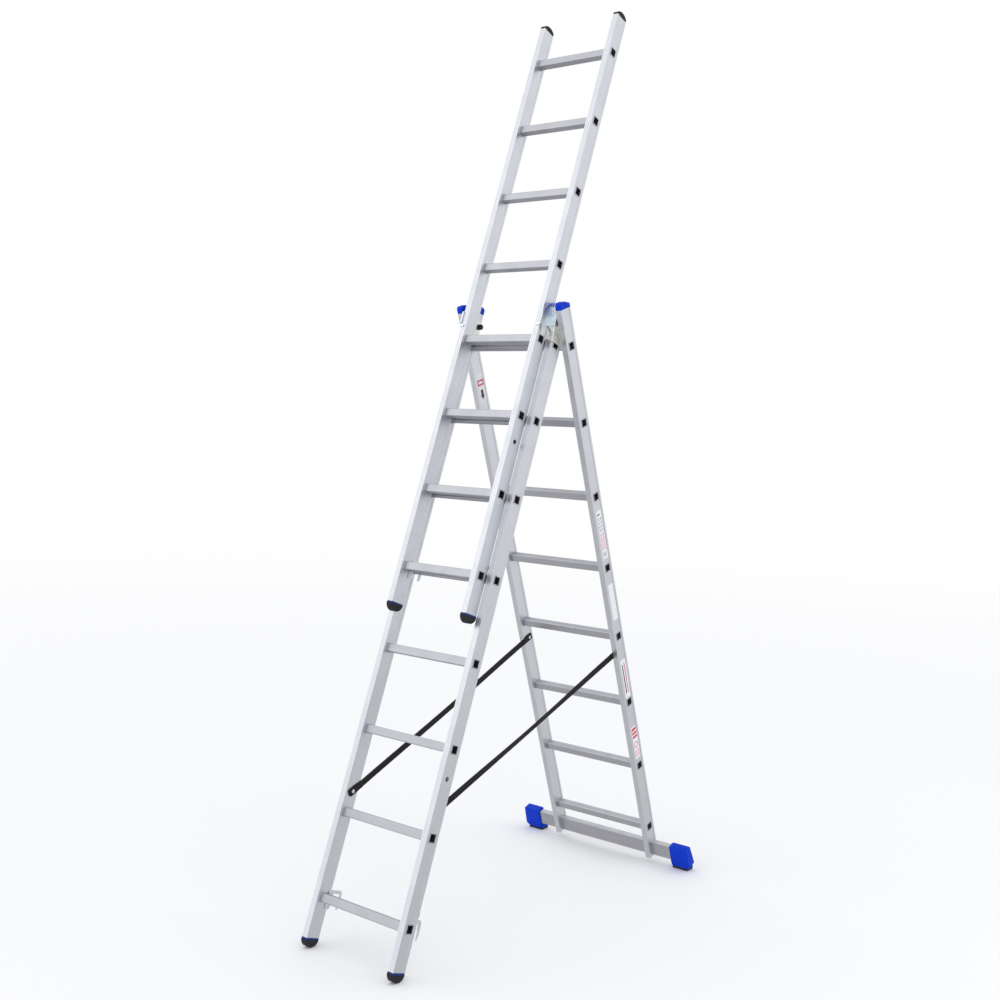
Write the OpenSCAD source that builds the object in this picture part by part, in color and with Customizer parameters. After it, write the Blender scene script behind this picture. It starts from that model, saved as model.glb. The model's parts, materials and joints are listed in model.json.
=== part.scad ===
// Three-section aluminium combination ladder, standing as an A-frame with its
// top section extended. Millimetres, +Z up. The origin is on the floor, in the
// middle of the footprint, under the hinge. The front (climbing) side faces -Y.
//
// Every section is drawn in its own frame: X across the ladder, Y through the
// depth of the stile (front is -Y), Z along the stile, 0 on the bottom rung's axis.

/* [Sections] */
// Distance between rung axes
pitch = 280; // [260:5:300]
// Outer width of the base (rear) section
base_w = 460; // [430:5:520]
// Narrowing from each section to the next
nest_step = 56; // [56:1:60]
// Angle of each leg of the A-frame from the vertical
lean = 19.6; // [15:0.1:23]

/* [Stiles] */
// Depth of a stile
stile_d = 57; // [54:1:60]
// Width of a stile
stile_w = 22; // [20:1:24]
// Thickness of the stile's side walls
web_t = 1.5; // [1.2:0.1:2]

/* [Rungs] */
// Side of the square rung tube
rung_size = 28; // [26:1:28]
// Wall of the rung tube
rung_wall = 1.5; // [1.2:0.1:2]

/* [Stabiliser bar] */
// Overall width over the two end caps
bar_w = 796; // [740:2:900]
// Height of the bar's section
bar_h = 58; // [50:1:60]
// Thickness of the rubber pads
pad_t = 8; // [6:1:12]

/* [Hidden] */
rungs = 8;
mid_w = base_w - nest_step;
top_w = mid_w - nest_step;
stack = stile_d - 5;            // nested stiles stand side by side, this far apart in depth
top_shift = 4 * pitch;          // the top section's first rung is level with rung 5

lip_d = 9;                      // depth of the solid edges of a stile
recess = 1;                     // the side walls sit this far inside the edges
face_t = 1.8;                   // thickness of the stile's front and rear faces
groove = 0.7;                   // grooves on the front and rear faces
fit_gap = 0.1;                  // gap between a rung and its window
rung_r = 3;                     // corner radius of a rung
rib_pitch = 4;                  // spacing of the ribs on a rung's tread
rib_h = 0.4;                    // height of the ribs
collar_t = 3;                   // swaged bulge inside the stile
flare_t = 1.2;                  // flared lip outside the stile
flare_h = 1.8;                  // how far the bulge and lip stand out

hinge_z = 1966;                 // hinge axis above the first rung, along the stile
hinge_y = 27.5;                 // hinge axis from the mid plane
stile_top = hinge_z + 126;
mid_bottom = -131;              // lower end of the middle stile
base_bottom = -134;
top_top = 2104;                 // upper end of the top section's stiles
foot_r = 30;                    // radius of a rubber foot's sole

// The lowest point of a middle foot touches the floor
rung1_z = foot_r - mid_bottom * cos(lean);
hinge_half_spread = hinge_y * cos(lean) + hinge_z * sin(lean);

cap_front = -15;                // bar end cap, front and rear in the base's frame
cap_rear_top = 18;
cap_rear_low = 28;
cap_top = -63;
front_reach = hinge_half_spread - mid_bottom * sin(lean) + foot_r;
rear_reach = hinge_half_spread + cap_rear_low * cos(lean) - floor_z(cap_rear_low, pad_t) * sin(lean);
hinge_world_y = (front_reach - rear_reach) / 2;
mid_y = hinge_world_y - hinge_half_spread;
base_y = hinge_world_y + hinge_half_spread;

bar_d = 22;                     // depth of the stabiliser bar
bar_z = -97;                    // middle of the bar along the stile
bar_wall = 2;
cap_in = 316;                   // inner end of a bar cap
cap_slope = 5;                  // the cap's outer end is longer at the bottom
cap_corner = 10;                // bevel at the bottom of its outer end
bar_end = bar_w / 2 - cap_corner - 14;

sheet = 2.5;                    // bracket sheet thickness
side_gap = 1;                   // gap between a stile and a guide
hook_t = 4;
hook_in = stack + rung_size / 2 + 1.5;          // front face of a hook's leg
hook_out = hook_in + 11;                        // rear face of a hook's leg
hook_top = 26;
hook_low = 37;
hook_front = rung_size / 2 + flare_h + 0.6;    // the plate starts behind its rung
hook_r = 14;
hook_front_r = 8;
mouth_front = stack - rung_size / 2 - 0.6;      // front side of the mouth
latch_y = stack + 3;            // latch pivot, in the section's frame
latch_z = 20.5;
strap_t = 1.5;
strap_w = 25;
strap_front_z = 349;            // rivet on the middle stile
strap_rear_z = 767;             // rivet on the base stile
rivet_y = 3;
peep_z = 466;                   // round hole in the outer side of a stile
peep_r = 8;

$fn = 32;

function rung_names(section) = [for (i = [1:rungs]) str(section, "_rung_", i)];

// ---- Frames ----

// Height along the base's frame of a point y deep and h above the floor
function floor_z(y, h) = (h - rung1_z - y * sin(lean)) / cos(lean);

module in_middle() {
    translate([0, mid_y, rung1_z]) rotate([-lean, 0, 0]) children();
}

module in_base() {
    translate([0, base_y, rung1_z]) rotate([lean, 0, 0]) children();
}

module in_top() {
    in_middle() translate([0, -stack, top_shift]) children();
}

// Draws a right-hand part again on the left
module both_sides() {
    children();
    mirror([1, 0, 0]) children();
}

module on_side(side) {
    if (side > 0) children();
    else mirror([1, 0, 0]) children();
}

// A plate drawn as (y, z) and standing across X from x to x + t
module side_plate(x, t) {
    translate([x, 0, 0]) rotate([90, 0, 90]) linear_extrude(t) children();
}

// A plate drawn as (x, z) and standing across Y from y to y + t
module front_plate(y, t) {
    translate([0, y + t, 0]) rotate([90, 0, 0]) linear_extrude(t) children();
}

module cross_pin(x, length, r, y, z) {
    translate([x, y, z]) rotate([0, 90, 0]) cylinder(r = r, h = length);
}

module rounded_square(size, r) {
    square([size - 2 * r, size], center = true);
    square([size, size - 2 * r], center = true);
    for (x = [-1, 1], y = [-1, 1])
        translate([x * (size / 2 - r), y * (size / 2 - r)]) circle(r);
}

// ---- Rungs ----

module rung_profile() {
    difference() {
        union() {
            rounded_square(rung_size, rung_r);
            for (side = [-1, 1], i = [-2:2])
                translate([i * rib_pitch, side * (rung_size + rib_h) / 2])
                    square([rib_pitch / 2, rib_h + 0.2], center = true);
        }
        rounded_square(rung_size - 2 * rung_wall, rung_r - rung_wall);
    }
}

module rung_ring(length, grow) {
    linear_extrude(length) difference() {
        rounded_square(rung_size + 2 * grow, rung_r + grow);
        rounded_square(rung_size - 2 * rung_wall, rung_r - rung_wall);
    }
}

// One rung, swaged on both sides of each stile wall
module rung(width) {
    web_out = width / 2 - recess;
    web_in = width / 2 - stile_w + recess;
    tread = web_in - collar_t;
    rotate([90, 0, 90]) {
        translate([0, 0, -tread]) linear_extrude(2 * tread) rung_profile();
        both_ends() {
            translate([0, 0, web_in - collar_t]) rung_ring(collar_t, flare_h);
            translate([0, 0, web_in]) rung_ring(web_out - web_in, 0);
            translate([0, 0, web_out]) rung_ring(flare_t, flare_h);
        }
    }
}

module both_ends() {
    children();
    mirror([0, 0, 1]) children();
}

module base_rung(i) {
    color("lightgray") in_base() translate([0, 0, (i - 1) * pitch]) rung(base_w);
}

module middle_rung(i) {
    color("lightgray") in_middle() translate([0, 0, (i - 1) * pitch]) rung(mid_w);
}

module top_rung(i) {
    color("lightgray") in_top() translate([0, 0, (i - 1) * pitch]) rung(top_w);
}

// ---- Stiles ----

module stile_outline() {
    difference() {
        square([stile_w, stile_d], center = true);
        for (side = [-1, 1]) {
            translate([side * stile_w / 2, 0])
                square([2 * recess, stile_d - 2 * lip_d], center = true);
            for (x = [-1, 1])
                translate([x * stile_w / 5, side * stile_d / 2]) square(2 * groove, center = true);
        }
        square([stile_w - 2 * (recess + web_t), stile_d - 2 * face_t], center = true);
    }
}

// A right-hand stile with a window for each rung through both of its walls
module stile(width, bottom, top) {
    mid_x = (width - stile_w) / 2;
    difference() {
        translate([mid_x, 0, bottom]) linear_extrude(top - bottom) stile_outline();
        for (i = [0:rungs - 1])
            translate([mid_x - stile_w, 0, i * pitch]) rotate([90, 0, 90])
                linear_extrude(2 * stile_w) rounded_square(rung_size + 2 * fit_gap, rung_r);
        children();
    }
}

module peep_hole(width) {
    cross_pin(width / 2 - recess - web_t - 1, recess + web_t + 2, peep_r, 0, peep_z);
}

module base_stile(side) {
    color("silver") in_base() on_side(side) stile(base_w, base_bottom, stile_top)
        translate([base_w / 2 - 2 * stile_w, -bar_d / 2 - fit_gap, bar_z - bar_h / 2 - fit_gap])
            cube([3 * stile_w, bar_d + 2 * fit_gap, bar_h + 2 * fit_gap]);
}

module base_left_stile() base_stile(-1);
module base_right_stile() base_stile(1);

module middle_stile(side) {
    color("silver") in_middle() on_side(side) stile(mid_w, mid_bottom, stile_top) peep_hole(mid_w);
}

module middle_left_stile() middle_stile(-1);
module middle_right_stile() middle_stile(1);

module top_stile(side) {
    color("silver") in_top() on_side(side) stile(top_w, mid_bottom, top_top) peep_hole(top_w);
}

module top_left_stile() top_stile(-1);
module top_right_stile() top_stile(1);

// ---- Feet and end caps of the stiles ----

foot_d = stile_d;               // depth of a foot's plug
foot_w = 24;
plug_band = 6;                  // part of the plug that shows below the stile
plug_in = 30;                   // part of the plug inside the stile
plug_clear = 0.3;

module plug_core(length) {
    linear_extrude(length)
        square([stile_w - 2 * (recess + web_t) - 2 * plug_clear,
                stile_d - 2 * face_t - 2 * plug_clear], center = true);
}

module foot_plug(width) {
    translate([(width - stile_w) / 2, 0, mid_bottom]) {
        plug_core(plug_in);
        translate([-foot_w / 2, -foot_d / 2, -plug_band]) cube([foot_w, foot_d, plug_band]);
    }
}

// Round-soled rubber foot
module foot(width) {
    translate([(width - stile_w) / 2, 0, mid_bottom]) intersection() {
        translate([-foot_w / 2, 0, 0]) rotate([0, 90, 0]) cylinder(r = foot_r, h = foot_w, $fn = 64);
        translate([-foot_w, -foot_r - 1, -2 * foot_r]) cube([2 * foot_w, 2 * foot_r + 2, 2 * foot_r - plug_band]);
    }
}

module middle_foot_plugs() color("royalblue") in_middle() both_sides() foot_plug(mid_w);
module middle_feet() color("dimgray") in_middle() both_sides() foot(mid_w);
module top_foot_plugs() color("royalblue") in_top() both_sides() foot_plug(top_w);
module top_feet() color("dimgray") in_top() both_sides() foot(top_w);

end_cap_high = 25;              // the cap is higher on the hinge side
end_cap_low = 14;
end_cap_r = 10;

// Sloping cap on a stile that ends beside the hinge; its high side faces +Y
module end_cap(width) {
    side_plate(width / 2 - stile_w, stile_w) {
        difference() {
            translate([-stile_d / 2, 0])
                polygon([[0, 0], [stile_d, 0], [stile_d, end_cap_high], [stile_d / 2, end_cap_high],
                         [0, end_cap_low]]);
            translate([stile_d / 2 - end_cap_r, end_cap_high - end_cap_r]) difference() {
                square(2 * end_cap_r);
                circle(end_cap_r);
            }
        }
    }
    translate([(width - stile_w) / 2, 0, -plug_in]) plug_core(plug_in);
}

module middle_end_caps() {
    color("royalblue") in_middle() both_sides() translate([0, 0, stile_top]) end_cap(mid_w);
}

module base_end_caps() {
    color("royalblue") in_base() both_sides() translate([0, 0, stile_top])
        mirror([0, 1, 0]) end_cap(base_w);
}

top_cap_edge = 8;               // height of the top cap's rim
top_cap_rise = 12;              // the dome above the rim
top_cap_r = (stile_d * stile_d / 4 + top_cap_rise * top_cap_rise) / (2 * top_cap_rise);

// Low domed rubber cap on the top section
module top_cap(width) {
    translate([width / 2 - stile_w, 0, top_top]) {
        translate([0, -stile_d / 2, 0]) cube([stile_w, stile_d, top_cap_edge]);
        intersection() {
            translate([0, -stile_d / 2, top_cap_edge]) cube([stile_w, stile_d, 2 * top_cap_rise]);
            translate([0, 0, top_cap_edge + top_cap_rise - top_cap_r]) rotate([0, 90, 0])
                cylinder(r = top_cap_r, h = stile_w, $fn = 96);
        }
        translate([stile_w / 2, 0, -plug_in]) plug_core(plug_in);
    }
}

module top_end_caps() color("dimgray") in_top() both_sides() top_cap(top_w);

// ---- Stabiliser bar ----

module stabiliser_bar() {
    color("silver") in_base() difference() {
        translate([-bar_end, -bar_d / 2, bar_z - bar_h / 2]) cube([2 * bar_end, bar_d, bar_h]);
        translate([-bar_end - 1, -bar_d / 2 + bar_wall, bar_z - bar_h / 2 + bar_wall])
            cube([2 * bar_end + 2, bar_d - 2 * bar_wall, bar_h - 2 * bar_wall]);
    }
}

module cap_side_outline() {
    polygon([[cap_front, floor_z(cap_front, pad_t)], [cap_rear_low, floor_z(cap_rear_low, pad_t)],
             [cap_rear_top, cap_top], [cap_front, cap_top]]);
}

module cap_front_outline() {
    corner_z = floor_z(cap_front, pad_t);
    low_z = floor_z(cap_rear_low, pad_t) - 1;
    polygon([[cap_in, low_z], [bar_w / 2 - cap_corner, low_z], [bar_w / 2 - cap_corner, corner_z],
             [bar_w / 2, corner_z + cap_corner], [bar_w / 2 - cap_slope, cap_top], [cap_in, cap_top]]);
}

// Plastic end cap with a pocket for the bar and a bevelled outer end
module bar_cap(side) {
    color("royalblue") in_base() on_side(side) difference() {
        intersection() {
            side_plate(cap_in, bar_w / 2 - cap_in) cap_side_outline();
            front_plate(cap_front - 1, cap_rear_low - cap_front + 2) cap_front_outline();
        }
        translate([cap_in - 1, -bar_d / 2 - fit_gap, bar_z - bar_h / 2 - fit_gap])
            cube([bar_end - cap_in + 1.2, bar_d + 2 * fit_gap, bar_h + 2 * fit_gap]);
    }
}

module left_bar_cap() bar_cap(-1);
module right_bar_cap() bar_cap(1);

// Flat rubber pad under a bar cap, level with the floor
module bar_pad(side) {
    front_low = base_y + cap_front * cos(lean) - floor_z(cap_front, pad_t) * sin(lean);
    rear_low = base_y + cap_rear_low * cos(lean) - floor_z(cap_rear_low, pad_t) * sin(lean);
    color("dimgray") on_side(side) translate([cap_in + 3, front_low + 2, 0])
        cube([bar_w / 2 - cap_corner - cap_in - 6, rear_low - front_low - 2, pad_t]);
}

module left_bar_pad() bar_pad(-1);
module right_bar_pad() bar_pad(1);

// ---- Guides that hold the top section's stiles ----

mid_out = mid_w / 2;            // outer face of the middle stile
mid_in = mid_w / 2 - stile_w;
top_out = top_w / 2;
guide_x = top_out + side_gap;   // inner face of the guide beside the top stile
guide_back = stile_d / 2 + 0.2; // the guide lies on the middle stile's front face
roll_r = 3.5;                   // rolled front edge of the guide
guide_lip = stack + stile_d / 2 + side_gap;
guide_low = 2018;
guide_high = 2085;

module guide_side_outline() {
    polygon([[-guide_lip, 2008], [-guide_lip + 12, 2004], [-guide_lip + 18, 1972], [-guide_lip + 24, 2004],
             [-guide_back, guide_low], [-guide_back, guide_high], [-guide_lip + 20, guide_high],
             [-guide_lip, 2056]]);
}

// Bracket on the front of a middle stile that holds a top stile beside it
module guide(side) {
    color("lightsteelblue") in_middle() on_side(side) {
        front_plate(-guide_back - sheet, sheet)
            translate([guide_x, guide_low]) square([mid_out - guide_x, guide_high - guide_low]);
        side_plate(guide_x, sheet) guide_side_outline();
        translate([guide_x + sheet / 2, -guide_lip - sheet, 2014]) cylinder(r = roll_r, h = 42);
        front_plate(-guide_lip - sheet, sheet)
            translate([top_out - 13, 2000]) square([guide_x + sheet - top_out + 13, 9]);
    }
}

module left_guide() guide(-1);
module right_guide() guide(1);

// ---- Hinge ----

ear_r = 11.5;
pin_r = 5;
bracket_low = 1962;
bracket_high = 2016;
rung_room = rung_size / 2 + flare_h + 1;        // half the room that a rung's collar takes
rung8_top = (rungs - 1) * pitch + rung_room;
plate_x = base_w / 2 - stile_w - 0.2 - sheet;   // hinge plate on the base stile

// U-shaped bracket round the front of the middle stile, with an ear to the hinge axis
module hinge_bracket(side) {
    front = stile_d / 2 + 0.2;
    color("lightsteelblue") in_middle() on_side(side) difference() {
        union() {
            side_plate(mid_out + 0.2, sheet) {
                polygon([[-front - sheet, bracket_low], [hinge_y - 4, bracket_low],
                         [hinge_y - 4, bracket_high + 26], [-front - sheet, bracket_high]]);
                translate([hinge_y, hinge_z]) circle(ear_r);
            }
            front_plate(-front - sheet, sheet)
                translate([mid_in - 0.2 - sheet, bracket_low])
                    square([stile_w + 0.4 + 2 * sheet, bracket_high - bracket_low]);
            side_plate(mid_in - 0.2 - sheet, sheet) polygon([
                [-front - sheet, bracket_low], [-rung_room, bracket_low], [-rung_room, rung8_top],
                [rung_room, rung8_top + 6], [stile_d / 2, rung8_top + 16],
                [stile_d / 2, 2052], [8, 2064], [-front + 4, bracket_high], [-front - sheet, bracket_high]]);
        }
        cross_pin(mid_out, 3 * sheet, pin_r + 0.05, hinge_y, hinge_z);
    }
}

module left_hinge_bracket() hinge_bracket(-1);
module right_hinge_bracket() hinge_bracket(1);

// Flat plates on the inner faces of the base stiles that hang on the hinge pins
module base_hinge_plates() {
    color("lightsteelblue") in_base() both_sides() difference() {
        side_plate(plate_x, sheet) {
            translate([-hinge_y, hinge_z]) circle(ear_r);
            polygon([[-hinge_y - 8, hinge_z], [-hinge_y + 8, hinge_z + 8], [-16, hinge_z + 14],
                     [12, hinge_z + 20], [20, hinge_z + 34], [20, hinge_z + 78], [-24, hinge_z + 78],
                     [-hinge_y - 8, hinge_z + 50]]);
        }
        cross_pin(plate_x - 1, sheet + 2, pin_r + 0.05, -hinge_y, hinge_z);
    }
}

module hinge_pins() {
    color("silver") in_middle() both_sides()
        cross_pin(mid_out + 0.2, plate_x + sheet - mid_out - 0.3, pin_r, hinge_y, hinge_z);
}

bolt_cap_y = 20;
bolt_cap_z = 2042;

// Black hexagonal caps over the nuts of the bracket bolts
module hinge_bolt_caps() {
    color("dimgray") in_middle() both_sides() {
        x = mid_in - 0.2 - sheet;
        translate([x, bolt_cap_y, bolt_cap_z]) rotate([0, -90, 0]) {
            cylinder(r = 11, h = 9, $fn = 6);
            translate([0, 0, 9]) cylinder(r = 8, h = 3, $fn = 48);
        }
    }
}

// ---- Rung hooks and their latches ----

// Takes a corner of radius r off an outline, with its centre at (y, z)
module round_off(y, z, r, side = 1) {
    translate([y, z]) difference() {
        translate([side > 0 ? 0 : -2 * r, 0]) square(2 * r);
        circle(r);
    }
}

// Hook plate riveted behind a rung to the inner face of a stile: it reaches
// over the rung of the section behind
module hook_outline() {
    mouth_top = rung_size / 2 + 0.6;
    difference() {
        polygon([[hook_front, -hook_low], [mouth_front - hook_front_r, -hook_low],
                 [mouth_front, -hook_low + hook_front_r],
                 [mouth_front, mouth_top], [hook_in, mouth_top], [hook_in, 2 - hook_low],
                 [hook_in + 5, -hook_low], [hook_out, -22], [hook_out, hook_top],
                 [hook_front, hook_top]]);
        round_off(hook_out - hook_r, hook_top - hook_r, hook_r);
        round_off(hook_front + hook_front_r, hook_top - hook_front_r, hook_front_r, -1);
    }
}

module hook(width) {
    side_plate(width / 2 - stile_w - 0.5 - hook_t, hook_t) hook_outline();
}

module middle_left_hook() color("lightsteelblue") in_middle() on_side(-1) hook(mid_w);
module middle_right_hook() color("lightsteelblue") in_middle() hook(mid_w);
module top_left_hook() color("lightsteelblue") in_top() on_side(-1) hook(top_w);
module top_right_hook() color("lightsteelblue") in_top() hook(top_w);

latch_r = 5.5;
latch_t = 6;
latch_pin_r = 2.5;
latch_gap = 0.4;                // between the latch and the hook plate
knob_z = 42;                    // the thumb end of the latch
knob_r = 8;

function latch_face(width) = width / 2 - stile_w - 0.5 - hook_t - latch_gap;

// Red thumb latch on the inner side of the right-hand hook, on its own pivot
module latch(width) {
    x = latch_face(width) - latch_t;
    difference() {
        side_plate(x, latch_t) {
            translate([latch_y, latch_z]) circle(latch_r);
            translate([latch_y + 2, knob_z]) circle(knob_r);
            polygon([[latch_y - latch_r, latch_z], [latch_y + latch_r, latch_z],
                     [latch_y + 2 + knob_r, knob_z], [latch_y + 2 - knob_r, knob_z]]);
        }
        cross_pin(x - 1, latch_t + 2, latch_pin_r + 0.05, latch_y, latch_z);
    }
}

module middle_latch() color("crimson") in_middle() latch(mid_w);
module top_latch() color("crimson") in_top() latch(top_w);

// ---- Opening straps ----

strap_end_in = 1.8;             // straps lie this far inside the stiles' inner faces
strap_front = world_middle(rivet_y, strap_front_z);
strap_rear = world_base(rivet_y, strap_rear_z);
strap_x1 = mid_in - strap_end_in;
strap_x2 = base_w / 2 - stile_w - strap_end_in;
strap_run = norm(strap_rear - strap_front);
strap_rise = atan2(strap_rear[1] - strap_front[1], strap_rear[0] - strap_front[0]);
strap_skew = atan2(strap_x2 - strap_x1, strap_run);
strap_length = norm([strap_run, strap_x2 - strap_x1]);

function world_middle(y, z) =
    [mid_y + y * cos(lean) + z * sin(lean), rung1_z - y * sin(lean) + z * cos(lean)];
function world_base(y, z) =
    [base_y + y * cos(lean) - z * sin(lean), rung1_z + y * sin(lean) + z * cos(lean)];

// Taut webbing strap from the middle stile to the base stile, drawn whole
module strap(side) {
    color("dimgray") on_side(side) translate([strap_x1, strap_front[0], strap_front[1]])
        rotate([strap_rise, 0, 0]) rotate([0, 0, -strap_skew])
            rotate([90, 0, 90]) translate([0, 0, -strap_t / 2]) linear_extrude(strap_t) difference() {
                union() {
                    translate([0, -strap_w / 2]) square([strap_length, strap_w]);
                    for (x = [0, strap_length]) translate([x, 0]) circle(strap_w / 2);
                }
                for (x = [0, strap_length]) translate([x, 0]) circle(4);
            }
}

module left_strap() strap(-1);
module right_strap() strap(1);

// ---- Fasteners ----

// Round head with its shank: the head's flat side is at x and it bulges towards -X
module rivet(x, r, y, z, head = 2) {
    translate([x, y, z]) rotate([0, -90, 0]) {
        cylinder(r = r, h = head / 2);
        translate([0, 0, head / 2]) cylinder(r = r * 0.75, h = head / 2);
    }
}

// The same head on a face that looks to the front
module front_rivet(x, y, r, z) {
    translate([x, y, z]) rotate([90, 0, 0]) {
        cylinder(r = r, h = 1);
        translate([0, 0, 1]) cylinder(r = r * 0.7, h = 1);
    }
}

module strap_rivet(width, z) {
    face = width / 2 - stile_w;
    rivet(face - strap_end_in - 1.6, 6.5, rivet_y, z);
    cross_pin(face - strap_end_in - 1.6, strap_end_in + 1.6 + recess, 3, rivet_y, z);
}

module hook_rivets(width) {
    plate = width / 2 - stile_w - 0.5 - hook_t;
    for (z = [-28, 18]) rivet(plate, 4, 26, z);
}

module latch_pivot(width) {
    head_x = latch_face(width) - latch_t - latch_gap;
    rivet(head_x, 4.5, latch_y, latch_z);
    cross_pin(head_x, latch_t + 2 * latch_gap, latch_pin_r, latch_y, latch_z);
}

// Rivet end seen through the round hole of a stile
module peep_rivet(width) {
    cross_pin(width / 2 - stile_w + recess + web_t, 9, 3, 0, peep_z);
}

module base_fasteners() {
    color("gainsboro") in_base() both_sides() {
        strap_rivet(base_w, strap_rear_z);
        for (z = [hinge_z + 34, hinge_z + 66]) rivet(plate_x, 5, 4, z, 0.4);
        for (z = [bar_z, stile_top - 9]) front_rivet((base_w - stile_w) / 2, -stile_d / 2, 5, z);
    }
}

module middle_fasteners() {
    color("gainsboro") in_middle() {
        both_sides() {
            strap_rivet(mid_w, strap_front_z);
            hook_rivets(mid_w);
            peep_rivet(mid_w);
            for (z = [guide_low + 16, guide_high - 16])
                front_rivet(mid_out - stile_w / 2, -guide_back - sheet, 4, z);
        }
        latch_pivot(mid_w);
    }
}

module top_fasteners() {
    color("gainsboro") in_top() {
        both_sides() {
            hook_rivets(top_w);
            peep_rivet(top_w);
        }
        latch_pivot(top_w);
    }
}

// ---- What is drawn ----

for (i = [1:rungs]) {
    base_rung(i);
    middle_rung(i);
    top_rung(i);
}
base_left_stile();
base_right_stile();
middle_left_stile();
middle_right_stile();
top_left_stile();
top_right_stile();
middle_foot_plugs();
middle_feet();
top_foot_plugs();
top_feet();
base_end_caps();
middle_end_caps();
top_end_caps();
stabiliser_bar();
left_bar_cap();
right_bar_cap();
left_bar_pad();
right_bar_pad();
left_guide();
right_guide();
left_hinge_bracket();
right_hinge_bracket();
base_hinge_plates();
hinge_pins();
hinge_bolt_caps();
middle_left_hook();
middle_right_hook();
top_left_hook();
top_right_hook();
middle_latch();
top_latch();
left_strap();
right_strap();
base_fasteners();
middle_fasteners();
top_fasteners();
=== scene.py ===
"""Looks of the combination ladder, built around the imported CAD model. Metres, +Z up."""
import json
import math

import bmesh
import bpy
from mathutils import Matrix, Vector


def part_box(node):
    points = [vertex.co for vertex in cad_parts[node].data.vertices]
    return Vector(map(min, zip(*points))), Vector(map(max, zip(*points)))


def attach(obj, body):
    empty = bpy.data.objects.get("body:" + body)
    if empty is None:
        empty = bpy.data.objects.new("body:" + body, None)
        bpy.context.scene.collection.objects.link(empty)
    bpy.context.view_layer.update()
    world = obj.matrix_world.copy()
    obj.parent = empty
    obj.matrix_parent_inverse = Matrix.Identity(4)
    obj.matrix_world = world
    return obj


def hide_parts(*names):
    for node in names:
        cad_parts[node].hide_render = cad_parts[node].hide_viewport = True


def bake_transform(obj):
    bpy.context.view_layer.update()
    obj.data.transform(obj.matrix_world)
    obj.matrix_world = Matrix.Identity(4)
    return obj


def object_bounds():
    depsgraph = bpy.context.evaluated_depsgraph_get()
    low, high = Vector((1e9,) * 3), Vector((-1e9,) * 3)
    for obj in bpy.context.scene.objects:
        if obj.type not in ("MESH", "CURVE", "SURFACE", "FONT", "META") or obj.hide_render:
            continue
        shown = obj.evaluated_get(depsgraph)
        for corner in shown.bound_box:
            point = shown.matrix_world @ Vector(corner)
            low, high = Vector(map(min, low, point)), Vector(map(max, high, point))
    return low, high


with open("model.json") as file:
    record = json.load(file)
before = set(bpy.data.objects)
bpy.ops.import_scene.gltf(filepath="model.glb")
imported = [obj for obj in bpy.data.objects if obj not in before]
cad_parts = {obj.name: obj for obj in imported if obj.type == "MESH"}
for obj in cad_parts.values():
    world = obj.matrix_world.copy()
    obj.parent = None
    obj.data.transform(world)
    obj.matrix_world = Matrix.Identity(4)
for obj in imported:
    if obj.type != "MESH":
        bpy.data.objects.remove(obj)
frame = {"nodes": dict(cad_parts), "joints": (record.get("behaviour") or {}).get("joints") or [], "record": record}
cad_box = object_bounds()
JOINTS = {joint["name"]: joint for joint in frame["joints"]}

# ---- Places that the frame gives ----

HINGE = Vector(JOINTS["base_fold"]["pos_m"])
SLIDE = Vector(JOINTS["top_slide"]["axis"])
LEAN = math.atan2(SLIDE.y, SLIDE.z)
RIGHT = Vector((1, 0, 0))


def node_middle(node):
    low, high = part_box(node)
    return (low + high) / 2


class Section:
    """A section's own axes from its first rung: x across, y to the rear through the stile, z up along it."""

    def __init__(self, name, lean):
        self.origin = node_middle(name + "_rung_1")
        self.rear = Vector((0, math.cos(lean), math.sin(lean)))
        self.up = Vector((0, -math.sin(lean), math.cos(lean)))

    def point(self, x, y, z):
        return self.origin + RIGHT * x + self.rear * y + self.up * z


BASE = Section("base", LEAN)

# ---- Materials ----


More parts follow.
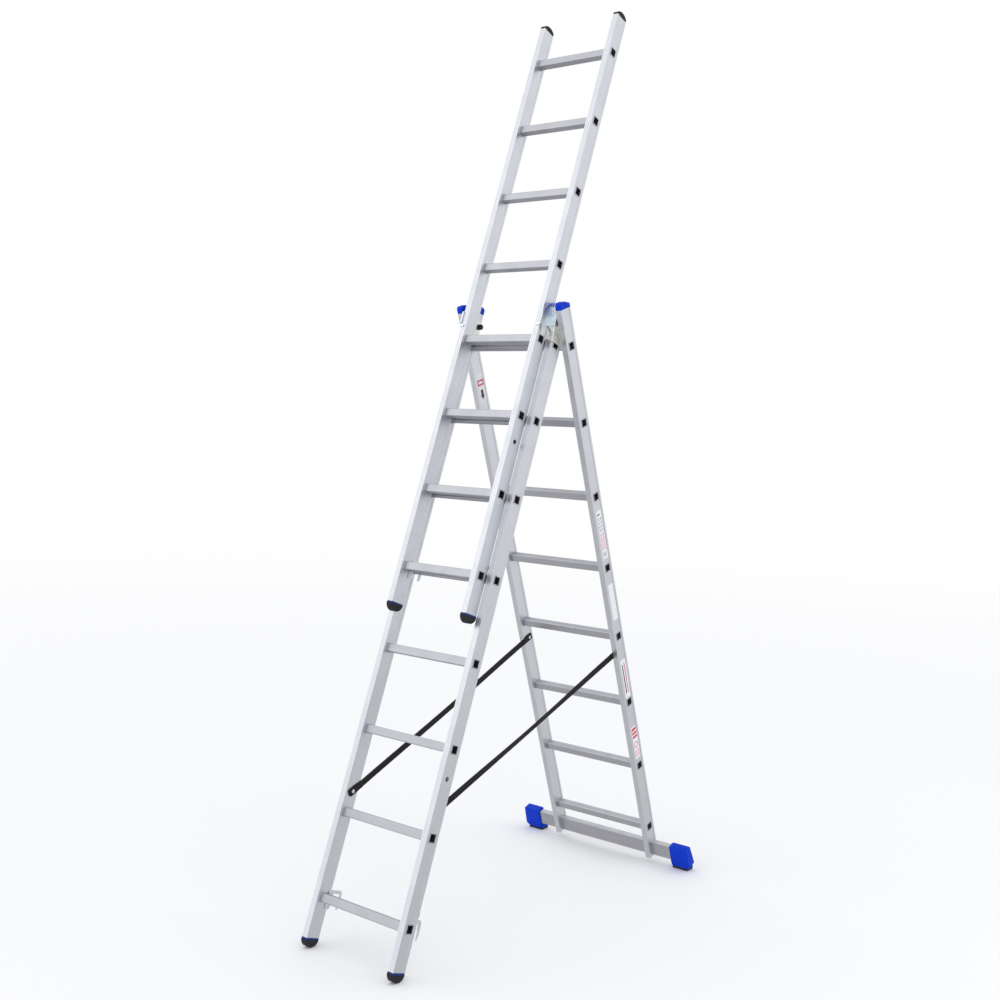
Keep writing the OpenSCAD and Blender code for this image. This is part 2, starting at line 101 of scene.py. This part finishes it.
class Look:
    """A Principled material, built up from noises in the part's own coordinates."""

    def __init__(self, name, colour, roughness, metallic=0.0, **sockets):
        self.material = bpy.data.materials.new(name)
        self.material.use_nodes = True
        self.tree = self.material.node_tree
        self.shader = self.tree.nodes["Principled BSDF"]
        self.shader.inputs["Base Color"].default_value = (*colour, 1)
        self.shader.inputs["Roughness"].default_value = roughness
        self.shader.inputs["Metallic"].default_value = metallic
        for socket, value in sockets.items():
            self.shader.inputs[socket.replace("_", " ")].default_value = value
        self.height = None

    def add(self, kind, **inputs):
        node = self.tree.nodes.new(kind)
        for socket, value in inputs.items():
            self.feed(node.inputs[socket.replace("_", " ")], value)
        return node

    def feed(self, socket, value):
        if isinstance(value, bpy.types.NodeSocket):
            self.tree.links.new(value, socket)
        else:
            socket.default_value = value

    def place(self, turn, size, coords="Object"):
        """Coordinates turned into a section's axes and divided by a pattern's size."""
        source = self.add("ShaderNodeTexCoord").outputs[coords]
        mapping = self.add("ShaderNodeMapping", Vector=source, Rotation=(turn, 0, 0), Scale=size)
        mapping.vector_type = "TEXTURE"
        return mapping.outputs["Vector"]

    def noise(self, size, turn=0.0, detail=3.0, coords="Object"):
        return self.add("ShaderNodeTexNoise", Vector=self.place(turn, size, coords), Scale=1.0,
                        Detail=detail).outputs["Fac"]

    def spread(self, value, low, high, start=0.3, end=0.7):
        """The value, from start to end, spread over low to high."""
        return self.add("ShaderNodeMapRange", Value=value, From_Min=start, From_Max=end,
                        To_Min=low, To_Max=high).outputs["Result"]

    def mix(self, factor, colour_a, colour_b):
        mixer = self.add("ShaderNodeMix")
        mixer.data_type = "RGBA"
        for socket, value in zip((mixer.inputs["Factor"], mixer.inputs[6], mixer.inputs[7]),
                                 (factor, colour_a, colour_b)):
            self.feed(socket, value if isinstance(value, (bpy.types.NodeSocket, float)) else (*value, 1))
        return mixer.outputs[2]

    def colour(self, value):
        self.tree.links.new(value, self.shader.inputs["Base Color"])

    def roughness(self, value):
        self.tree.links.new(value, self.shader.inputs["Roughness"])

    def bump(self, value, depth, strength=1.0):
        node = self.add("ShaderNodeBump", Height=value, Distance=depth, Strength=strength)
        if self.height:
            self.tree.links.new(self.height, node.inputs["Normal"])
        self.height = node.outputs["Normal"]
        self.tree.links.new(self.height, self.shader.inputs["Normal"])


FINE = 0.0011       # spacing of drawing lines on an extrusion
LONG = 0.6          # length of a drawing line
SMUDGE = 0.07       # size of a handling mark


def aluminium(name, turn, along_x, light, dark, rough):
    """Extruded aluminium: fine drawing lines along the part, soft smudges and a few scratches."""
    look = Look(name, light, rough, metallic=1.0)
    size = (LONG, FINE, FINE) if along_x else (FINE, FINE, LONG)
    scratch = (0.02, 0.0004, 0.0004) if along_x else (0.0004, 0.0004, 0.02)
    lines = look.noise(size, turn, detail=4.0)
    smudges = look.noise((SMUDGE, SMUDGE, SMUDGE), turn)
    scratches = look.noise(scratch, turn, detail=1.0)
    tone = look.mix(look.spread(lines, 0.0, 0.6), light, dark)
    tone = look.mix(look.spread(smudges, 0.0, 0.45, 0.45, 0.75), tone, dark)
    look.colour(tone)
    mixed = look.add("ShaderNodeMath", Value=look.spread(lines, rough - 0.05, rough + 0.06))
    mixed.operation = "ADD"
    look.feed(mixed.inputs[1], look.spread(smudges, -0.03, 0.07))
    look.roughness(mixed.outputs[0])
    look.bump(lines, 0.00006)
    look.bump(look.spread(scratches, 0.0, 1.0, 0.72, 0.8), 0.00005)
    return look.material


def plated_steel(name, light, dark, rough):
    """Bright plate: cloudy bands of tone with fine pits."""
    look = Look(name, light, rough, metallic=1.0)
    clouds = look.noise((0.012, 0.012, 0.012), detail=4.0)
    pits = look.noise((0.0012, 0.0012, 0.0012), detail=2.0)
    look.colour(look.mix(look.spread(clouds, 0.0, 1.0), light, dark))
    look.roughness(look.spread(clouds, rough - 0.06, rough + 0.1))
    look.bump(pits, 0.00005)
    return look.material


def moulded(name, light, dark, rough, grain, depth, **sockets):
    """Moulded plastic or rubber: an even grain, faint flow marks and scuffs."""
    look = Look(name, light, rough, **sockets)
    grains = look.noise((grain, grain, grain), detail=2.0)
    scuffs = look.noise((0.03, 0.03, 0.009), detail=4.0)
    look.colour(look.mix(look.spread(scuffs, 0.0, 1.0, 0.35, 0.7), light, dark))
    look.roughness(look.spread(scuffs, rough - 0.05, rough + 0.12))
    look.bump(grains, depth)
    return look.material


WEB_PITCH = 0.0016  # spacing of the webbing's weft


def webbing():
    """Woven polyester: diagonal warp ribs crossed by the weft, in the strap's own length and width."""
    look = Look("black webbing", (0.006, 0.006, 0.007), 0.7, Specular_IOR_Level=0.2, Sheen_Weight=0.03)
    place = look.place(0.0, (WEB_PITCH, WEB_PITCH, 1.0), "UV")
    weft = look.add("ShaderNodeTexWave", Vector=place, Scale=0.5, Distortion=0.4)
    warp = look.add("ShaderNodeTexWave", Vector=place, Scale=0.7, Distortion=0.3)
    warp.bands_direction = "DIAGONAL"
    fuzz = look.noise((0.0005, 0.0005, 1.0), coords="UV")
    look.colour(look.mix(weft.outputs["Fac"], (0.003, 0.003, 0.004), (0.014, 0.014, 0.017)))
    look.roughness(look.spread(fuzz, 0.52, 0.74))
    look.bump(weft.outputs["Fac"], 0.0003, 0.7)
    look.bump(warp.outputs["Fac"], 0.0002, 0.5)
    look.bump(fuzz, 0.0001)
    return look.material


SILVER = (0.79, 0.805, 0.835)
SILVER_DULL = (0.70, 0.715, 0.75)
RUNG_LIGHT = (0.56, 0.56, 0.59)
RUNG_DULL = (0.47, 0.47, 0.50)

LOOKS = {
    "stile front": aluminium("stile aluminium front", -LEAN, False, SILVER, SILVER_DULL, 0.34),
    "stile rear": aluminium("stile aluminium rear", LEAN, False, SILVER, SILVER_DULL, 0.34),
    "rung front": aluminium("rung aluminium front", -LEAN, True, RUNG_LIGHT, RUNG_DULL, 0.32),
    "rung rear": aluminium("rung aluminium rear", LEAN, True, RUNG_LIGHT, RUNG_DULL, 0.32),
    "bar": aluminium("bar aluminium", LEAN, True, RUNG_LIGHT, RUNG_DULL, 0.38),
    "zinc": plated_steel("zinc plated steel", (0.84, 0.90, 0.93), (0.74, 0.81, 0.85), 0.3),
    "bracket": plated_steel("bracket steel", (0.86, 0.85, 0.81), (0.74, 0.73, 0.69), 0.24),
    "rivet": plated_steel("rivet metal", (0.84, 0.84, 0.85), (0.72, 0.73, 0.75), 0.26),
    "blue": moulded("blue plastic", (0.0, 0.042, 0.60), (0.0, 0.032, 0.48), 0.44, 0.0007, 0.00004,
                    Specular_IOR_Level=0.12),
    # Painted shade: the blue plastic made darker on the foot plugs to stand in for the shadow they sit in
    "blue_painted_shade": moulded("blue plastic painted shade", (0.002, 0.025, 0.20), (0.001, 0.015, 0.13), 0.45, 0.0007, 0.00004,
                    Specular_IOR_Level=0.3),
    "rubber": moulded("black rubber", (0.010, 0.010, 0.011), (0.022, 0.022, 0.024), 0.6, 0.0009, 0.00008,
                      Specular_IOR_Level=0.3),
    "black": moulded("black plastic", (0.008, 0.008, 0.009), (0.014, 0.014, 0.016), 0.4, 0.0007, 0.00004,
                     Specular_IOR_Level=0.3),
    "red": moulded("red plastic", (0.52, 0.006, 0.022), (0.38, 0.004, 0.016), 0.36, 0.0007, 0.00004,
                   Specular_IOR_Level=0.35),
    "webbing": webbing(),
}

NODE_LOOKS = {
    "left_hinge_bracket": "bracket",
    "right_hinge_bracket": "bracket",
    "base_hinge_plates": "bracket",
    # The foot plugs take the blue plastic with painted shade
    "middle_foot_plugs": "blue_painted_shade",
    "top_foot_plugs": "blue_painted_shade",
}

SLOT_LOOKS = {
    "zinc_steel": "zinc",
    "rivet_metal": "rivet",
    "blue_plastic": "blue",
    "black_rubber": "rubber",
    "black_plastic": "black",
    "red_plastic": "red",
    "black_webbing": "webbing",
    "bar_aluminium": "bar",
}


def look_of(node, slot):
    if node in NODE_LOOKS:
        return LOOKS[NODE_LOOKS[node]]
    if slot in SLOT_LOOKS:
        return LOOKS[SLOT_LOOKS[slot]]
    side = "rear" if node.startswith("base_") else "front"
    return LOOKS[("stile " if slot == "stile_aluminium" else "rung ") + side]


def dress(piece, material):
    if not piece.material_slots:
        piece.data.materials.append(material)
    for slot in piece.material_slots:
        slot.material = material


for part in frame["record"]["subparts"]:
    dress(frame["nodes"][part["node"]], look_of(part["node"], part["material_slot"]))

# ---- Rounded edges on moulded and stamped CAD pieces ----

SHEET_EDGE = 0.0006     # rounding of stamped steel

EDGES = {
    "left_bar_cap": 0.0035, "right_bar_cap": 0.0035,
    "left_bar_pad": 0.0015, "right_bar_pad": 0.0015,
    "base_end_caps": 0.0022, "middle_end_caps": 0.0022, "top_end_caps": 0.002,
    "middle_feet": 0.0022, "top_feet": 0.0022, "middle_foot_plugs": 0.0008, "top_foot_plugs": 0.0008,
    "hinge_bolt_caps": 0.0008, "middle_latch": 0.001, "top_latch": 0.001,
    "left_guide": SHEET_EDGE, "right_guide": SHEET_EDGE,
    "left_hinge_bracket": SHEET_EDGE, "right_hinge_bracket": SHEET_EDGE,
    "middle_left_hook": SHEET_EDGE, "middle_right_hook": SHEET_EDGE,
    "top_left_hook": SHEET_EDGE, "top_right_hook": SHEET_EDGE,
    "stabiliser_bar": 0.001,
}
SHARP = math.radians(28)
JOIN_DISTANCE = 0.00001

for name, width in EDGES.items():
    piece = frame["nodes"][name]
    weld = piece.modifiers.new("join", "WELD")
    weld.merge_threshold = JOIN_DISTANCE
    bevel = piece.modifiers.new("round", "BEVEL")
    bevel.width = width
    bevel.segments = 3
    bevel.limit_method = "ANGLE"
    bevel.angle_limit = SHARP

# ---- Opening straps ----

STRAP_WIDTH = 0.025
STRAP_THICK = 0.0011
STRAP_END = 0.016       # webbing past the rivet
STRAP_FOLD = 0.045      # doubled length at each end
CAD_STRAP_THICK = 0.0015
LAYER_STEP = 0.0011
OUTER_LAYER = 0.00015   # towards the stile from the CAD strap's middle
RIM = ((-1, -0.4), (-1, 0.4), (-0.96, 1), (-0.5, 1), (0, 1), (0.5, 1), (0.96, 1), (1, 0.4), (1, -0.4),
       (0.96, -1), (0.5, -1), (0, -1), (-0.5, -1), (-0.96, -1))


def strap_path(length):
    """(distance from the front rivet, offset towards the stile) along a strap folded at both ends."""
    inner = OUTER_LAYER - LAYER_STEP
    middle = (OUTER_LAYER + inner) / 2
    turn = LAYER_STEP / 2
    path = [(STRAP_FOLD * (1 - i / 8) - STRAP_END * i / 8, inner) for i in range(9)]
    path += [(-STRAP_END - turn * math.sin(a), middle - turn * math.cos(a))
             for a in (math.pi * i / 6 for i in range(1, 6))]
    steps = 72
    reach = length + 2 * STRAP_END
    path += [(-STRAP_END + reach * i / steps, OUTER_LAYER) for i in range(steps + 1)]
    path += [(length + STRAP_END + turn * math.sin(a), middle + turn * math.cos(a))
             for a in (math.pi * i / 6 for i in range(1, 6))]
    path += [(length + STRAP_END * (1 - i / 8) - STRAP_FOLD * i / 8, inner) for i in range(9)]
    return path


def strap(side, twist):
    """Flat webbing, doubled back under its rivets, a little twisted between them."""
    name = ("right" if side > 0 else "left") + "_strap"
    low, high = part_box(name)
    radius = STRAP_WIDTH / 2
    half = CAD_STRAP_THICK / 2
    near, far = (low.x, high.x) if side > 0 else (high.x, low.x)
    front = Vector((near + side * half, low.y + radius, low.z + radius))
    rear = Vector((far - side * half, high.y - radius, high.z - radius))
    along = (rear - front).normalized()
    out = RIGHT * side
    out = (out - along * out.dot(along)).normalized()
    across = along.cross(out)
    length = (rear - front).length
    path = strap_path(length)
    mesh = bmesh.new()
    uv = mesh.loops.layers.uv.new("weave")
    rings = []
    travelled = []
    total = 0.0
    for i, (t, o) in enumerate(path):
        ahead = Vector(path[min(i + 1, len(path) - 1)])
        behind = Vector(path[max(i - 1, 0)])
        step = (ahead - behind).normalized()
        facing = out * step.x - along * step.y
        share = min(max((t - STRAP_FOLD) / (length - 2 * STRAP_FOLD), 0), 1)
        free = math.sin(math.pi * share) ** 2 if o == OUTER_LAYER else 0
        spin = Matrix.Rotation(twist * free, 3, along)
        droop = Vector((0, 0, -0.004 * free))
        total += (Vector(path[i]) - Vector(path[max(i - 1, 0)])).length
        travelled.append(total)
        end = max(-t, t - length) / STRAP_END
        narrow = 1 - 0.06 * max(end, 0) ** 3
        centre = front + along * t + out * o + droop
        rings.append([mesh.verts.new(centre + spin @ (across * (x * narrow * radius)
                                                      + facing * (y * STRAP_THICK / 2))) for x, y in RIM])
    for i in range(len(rings) - 1):
        for k in range(len(RIM)):
            j = (k + 1) % len(RIM)
            face = mesh.faces.new((rings[i][k], rings[i][j], rings[i + 1][j], rings[i + 1][k]))
            face.smooth = True
            for loop, (row, column) in zip(face.loops, ((i, k), (i, j), (i + 1, j), (i + 1, k))):
                loop[uv].uv = (travelled[row], RIM[column][0] * radius)
    mesh.faces.new(reversed(rings[0]))
    mesh.faces.new(rings[-1])
    bmesh.ops.recalc_face_normals(mesh, faces=mesh.faces)
    piece = finish_mesh(name + "_webbing", mesh, LOOKS["webbing"])
    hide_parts(name)
    end = rear - along * STRAP_FOLD * 1.2
    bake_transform(piece)


def finish_mesh(name, mesh, material):
    data = bpy.data.meshes.new(name)
    mesh.to_mesh(data)
    mesh.free()
    data.materials.append(material)
    piece = bpy.data.objects.new(name, data)
    bpy.context.scene.collection.objects.link(piece)
    return piece


strap(-1, math.radians(4))
strap(1, math.radians(16))

# ---- Labels on the base section ----

STILE_RECESS = 0.001
PAPER_THICK = 0.0002
INK_THICK = 0.00006


def rounded(y_low, z_low, y_high, z_high, radius):
    """Outline of a box with rounded corners, in a stile's depth and length."""
    points = []
    corners = ((y_high, z_high, 0), (y_low, z_high, 90), (y_low, z_low, 180), (y_high, z_low, 270))
    for y, z, start in corners:
        centre_y = y - radius if y == y_high else y + radius
        centre_z = z - radius if z == z_high else z + radius
        for i in range(5):
            a = math.radians(start + 90 * i / 4)
            points.append((centre_y + radius * math.cos(a), centre_z + radius * math.sin(a)))
    return points


def ring(y, z, radius, width):
    """Two outlines, the second of them a hole, drawn as one closed band."""
    turns = [math.radians(15 * i) for i in range(25)]
    outer = [(y + radius * math.cos(a), z + radius * math.sin(a)) for a in turns]
    inner = [(y + (radius - width) * math.cos(a), z + (radius - width) * math.sin(a)) for a in turns]
    return [[outer[i], outer[i + 1], inner[i + 1], inner[i]] for i in range(24)]


def film(name, x, thick, outlines, material):
    """Flat shapes of one thickness on a base stile's side wall, which faces +X."""
    mesh = bmesh.new()
    for outline in outlines:
        top = [mesh.verts.new(BASE.point(x + thick, y, z)) for y, z in outline]
        under = [mesh.verts.new(BASE.point(x, y, z)) for y, z in outline]
        mesh.faces.new(top)
        mesh.faces.new(reversed(under))
        for i in range(len(outline)):
            j = (i + 1) % len(outline)
            mesh.faces.new((top[i], under[i], under[j], top[j]))
    bmesh.ops.remove_doubles(mesh, verts=mesh.verts, dist=0.000001)
    bmesh.ops.recalc_face_normals(mesh, faces=mesh.faces)
    piece = finish_mesh(name, mesh, material)
    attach(piece, "base_section")


def label(name, x, width, z_low, z_high, prints):
    """A white sticker with plain printed shapes: prints maps an ink to its outlines."""
    film(name, x, PAPER_THICK, [rounded(-width / 2, z_low, width / 2, z_high, 0.003)], INKS["white"])
    for ink, outlines in prints.items():
        film(name + "_" + ink, x + PAPER_THICK, INK_THICK, outlines, INKS[ink])


def paper(name, colour):
    """Printed film: paper fibre under a thin gloss, with faint fading."""
    look = Look(name, colour, 0.4, Specular_IOR_Level=0.4)
    fibre = look.noise((0.0008, 0.0008, 0.0008))
    fading = look.noise((0.03, 0.03, 0.03))
    faded = tuple(0.75 * c + 0.15 for c in colour)
    look.colour(look.mix(look.spread(fading, 0.0, 0.35), colour, faded))
    look.roughness(look.spread(fibre, 0.32, 0.5))
    look.bump(fibre, 0.00003)
    return look.material


INKS = {
    "white": paper("label white", (0.84, 0.85, 0.88)),
    "grey": paper("label grey", (0.50, 0.54, 0.60)),
    "pink": paper("label pink", (0.80, 0.42, 0.46)),
    "red": paper("label red", (0.66, 0.02, 0.06)),
    "black": paper("label black", (0.012, 0.012, 0.016)),
}

outer_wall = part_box("base_right_stile")[1].x - STILE_RECESS
inner_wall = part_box("base_left_stile")[1].x - STILE_RECESS


def squares(columns, z_low, z_high, size, rows):
    """A grid of small blank panels."""
    step = (z_high - z_low) / rows
    half = size / 2
    middles = [(y, z_low + step * (i + 0.5)) for y in columns for i in range(rows)]
    return [rounded(y - half, z - half, y + half, z + half, size / 8) for y, z in middles]


label("label_long", outer_wall, 0.030, 1.158, 1.346, {
    "black": [rounded(-0.011, 1.328, 0.004, 1.333, 0.001)],
    "grey": (squares((-0.007, 0.007), 1.262, 1.320, 0.010, 4)
             + [rounded(-0.010, 1.166, 0.008, 1.184, 0.002)]),
    "pink": squares((-0.007, 0.007), 1.192, 1.258, 0.010, 5),
})
label("label_plain", outer_wall, 0.030, 0.908, 1.053, {
    "grey": [rounded(-0.011, 0.916 + 0.012 * i, 0.011, 0.9168 + 0.012 * i, 0.0003) for i in range(11)],
})
label("label_white", outer_wall, 0.033, 0.580, 0.740, {
    "black": [rounded(-0.010, 0.600, -0.004, 0.720, 0.001)],
    "red": [rounded(0.003, 0.600, 0.008, 0.726, 0.001)],
})
label("label_pink", outer_wall, 0.034, 0.313, 0.451, {
    "red": [rounded(-0.015, 0.402, 0.015, 0.412, 0.001), rounded(-0.015, 0.418, 0.015, 0.428, 0.001),
            rounded(-0.015, 0.434, 0.015, 0.445, 0.001)] + ring(0, 0.372, 0.013, 0.003),
    "pink": squares((-0.008, 0.008), 0.320, 0.350, 0.011, 2),
})


def arrow(z_top, z_tip, shaft, head):
    """Outline of an arrow pointing down the stile."""
    neck = z_tip + head
    return [(-shaft / 2, z_top), (shaft / 2, z_top), (shaft / 2, neck), (head * 0.62, neck), (0, z_tip),
            (-head * 0.62, neck), (-shaft / 2, neck)]


label("label_inner", inner_wall, 0.0355, 1.752, 1.856, {
    "black": [arrow(1.796, 1.758, 0.013, 0.018)],
    "red": [rounded(-0.017, 1.812, 0.017, 1.834, 0.001)],
})
film("label_inner_band", inner_wall + PAPER_THICK + INK_THICK, INK_THICK,
     [rounded(-0.012, 1.818, 0.012, 1.828, 0.001)], INKS["white"])

# ---- Floor, light and camera ----

FLOOR_RADIUS = 60.0
BRIGHT_SIDE = Vector((-0.62, -0.62, 0.48)).normalized()


def floor():
    """A pale floor that fades to the white of the backdrop far from the ladder."""
    mesh = bmesh.new()
    bmesh.ops.create_circle(mesh, cap_ends=True, segments=64, radius=FLOOR_RADIUS)
    look = Look("studio floor", (0.93, 0.93, 0.935), 0.9, Specular_IOR_Level=0.0)
    place = look.place(0.0, (1.0, 1.0, 1.0))
    distance = look.add("ShaderNodeVectorMath", Vector=place)
    distance.operation = "LENGTH"
    glow = look.add("ShaderNodeEmission", Color=(1, 1, 1, 1), Strength=1.0)
    blend = look.add("ShaderNodeMixShader", Fac=look.spread(distance.outputs["Value"], 0.0, 1.0, 3.0, 12.0))
    look.tree.links.new(look.shader.outputs[0], blend.inputs[1])
    look.tree.links.new(glow.outputs[0], blend.inputs[2])
    output = look.tree.nodes["Material Output"]
    look.tree.links.new(blend.outputs[0], output.inputs["Surface"])
    piece = finish_mesh("floor", mesh, look.material)
    piece.location.z = cad_box[0][2] - 0.0005
    piece.visible_glossy = False


def backdrop_light():
    """White behind the ladder. Its surfaces see a studio brighter to the front left, with a darker floor."""
    world = bpy.data.worlds.new("studio")
    bpy.context.scene.world = world
    world.use_nodes = True
    tree = world.node_tree
    tree.nodes.clear()

    def add(kind, operation=None):
        node = tree.nodes.new(kind)
        if operation:
            node.operation = operation
        return node

    def ramp(value, low, high, dark, light):
        node = add("ShaderNodeMapRange")
        node.interpolation_type = "SMOOTHSTEP"
        for socket, number in (("From Min", low), ("From Max", high), ("To Min", dark), ("To Max", light)):
            node.inputs[socket].default_value = number
        tree.links.new(value, node.inputs["Value"])
        return node.outputs["Result"]

    coords = add("ShaderNodeTexCoord").outputs["Generated"]
    dot = add("ShaderNodeVectorMath", "DOT_PRODUCT")
    dot.inputs[1].default_value = BRIGHT_SIDE
    tree.links.new(coords, dot.inputs[0])
    axes = add("ShaderNodeSeparateXYZ")
    tree.links.new(coords, axes.inputs["Vector"])
    level = add("ShaderNodeMath", "MULTIPLY")
    tree.links.new(ramp(dot.outputs["Value"], -1.0, 1.0, 0.86, 1.10), level.inputs[0])
    tree.links.new(ramp(axes.outputs["Z"], -0.6, 0.1, 0.60, 1.0), level.inputs[1])
    seen = add("ShaderNodeLightPath")
    white = add("ShaderNodeBackground")
    white.inputs["Color"].default_value = (1, 1, 1, 1)
    soft = add("ShaderNodeBackground")
    soft.inputs["Color"].default_value = (0.97, 0.98, 1.0, 1)
    tree.links.new(level.outputs["Value"], soft.inputs["Strength"])
    mix = add("ShaderNodeMixShader")
    tree.links.new(seen.outputs["Is Camera Ray"], mix.inputs["Fac"])
    tree.links.new(soft.outputs[0], mix.inputs[1])
    tree.links.new(white.outputs[0], mix.inputs[2])
    tree.links.new(mix.outputs[0], add("ShaderNodeOutputWorld").inputs["Surface"])


def softbox(name, place, target, size, power):
    light = bpy.data.lights.new(name, "AREA")
    light.shape = "SQUARE"
    light.size = size
    light.energy = power
    lamp = bpy.data.objects.new(name, light)
    lamp.location = place
    lamp.rotation_euler = (target - place).to_track_quat("-Z", "Y").to_euler()
    lamp.visible_camera = False
    bpy.context.scene.collection.objects.link(lamp)


CAMERA_PLACE = Vector((2.7119, -3.5045, -0.2478))   # from the hinge
CAMERA_YAW = math.radians(37.65)
CAMERA_PITCH = math.radians(3.115)
CAMERA_ROLL = math.radians(2.0)


def camera():
    data = bpy.data.cameras.new("camera")
    data.sensor_width = 36.0
    data.lens = 44.74
    data.shift_x = -0.0111
    data.shift_y = -0.0155
    data.clip_end = 200.0
    forward = Vector((-math.sin(CAMERA_YAW) * math.cos(CAMERA_PITCH),
                      math.cos(CAMERA_YAW) * math.cos(CAMERA_PITCH), -math.sin(CAMERA_PITCH)))
    level_right = Vector((math.cos(CAMERA_YAW), math.sin(CAMERA_YAW), 0))
    level_up = level_right.cross(forward)
    right = math.cos(CAMERA_ROLL) * level_right + math.sin(CAMERA_ROLL) * level_up
    up = -math.sin(CAMERA_ROLL) * level_right + math.cos(CAMERA_ROLL) * level_up
    piece = bpy.data.objects.new("camera", data)
    turn = Matrix((right, up, -forward)).transposed().to_4x4()
    piece.matrix_world = Matrix.Translation(HINGE + CAMERA_PLACE) @ turn
    bpy.context.scene.collection.objects.link(piece)
    bpy.context.scene.camera = piece


floor()
backdrop_light()
softbox("key", HINGE + Vector((-2.6, -4.2, 2.6)), HINGE + Vector((0, 0, -0.4)), 4.0, 12)
softbox("fill", HINGE + Vector((4.2, 0.6, 1.2)), HINGE + Vector((0, 0, -0.8)), 3.0, 15)
camera()
bpy.context.scene.view_settings.view_transform = "Standard"
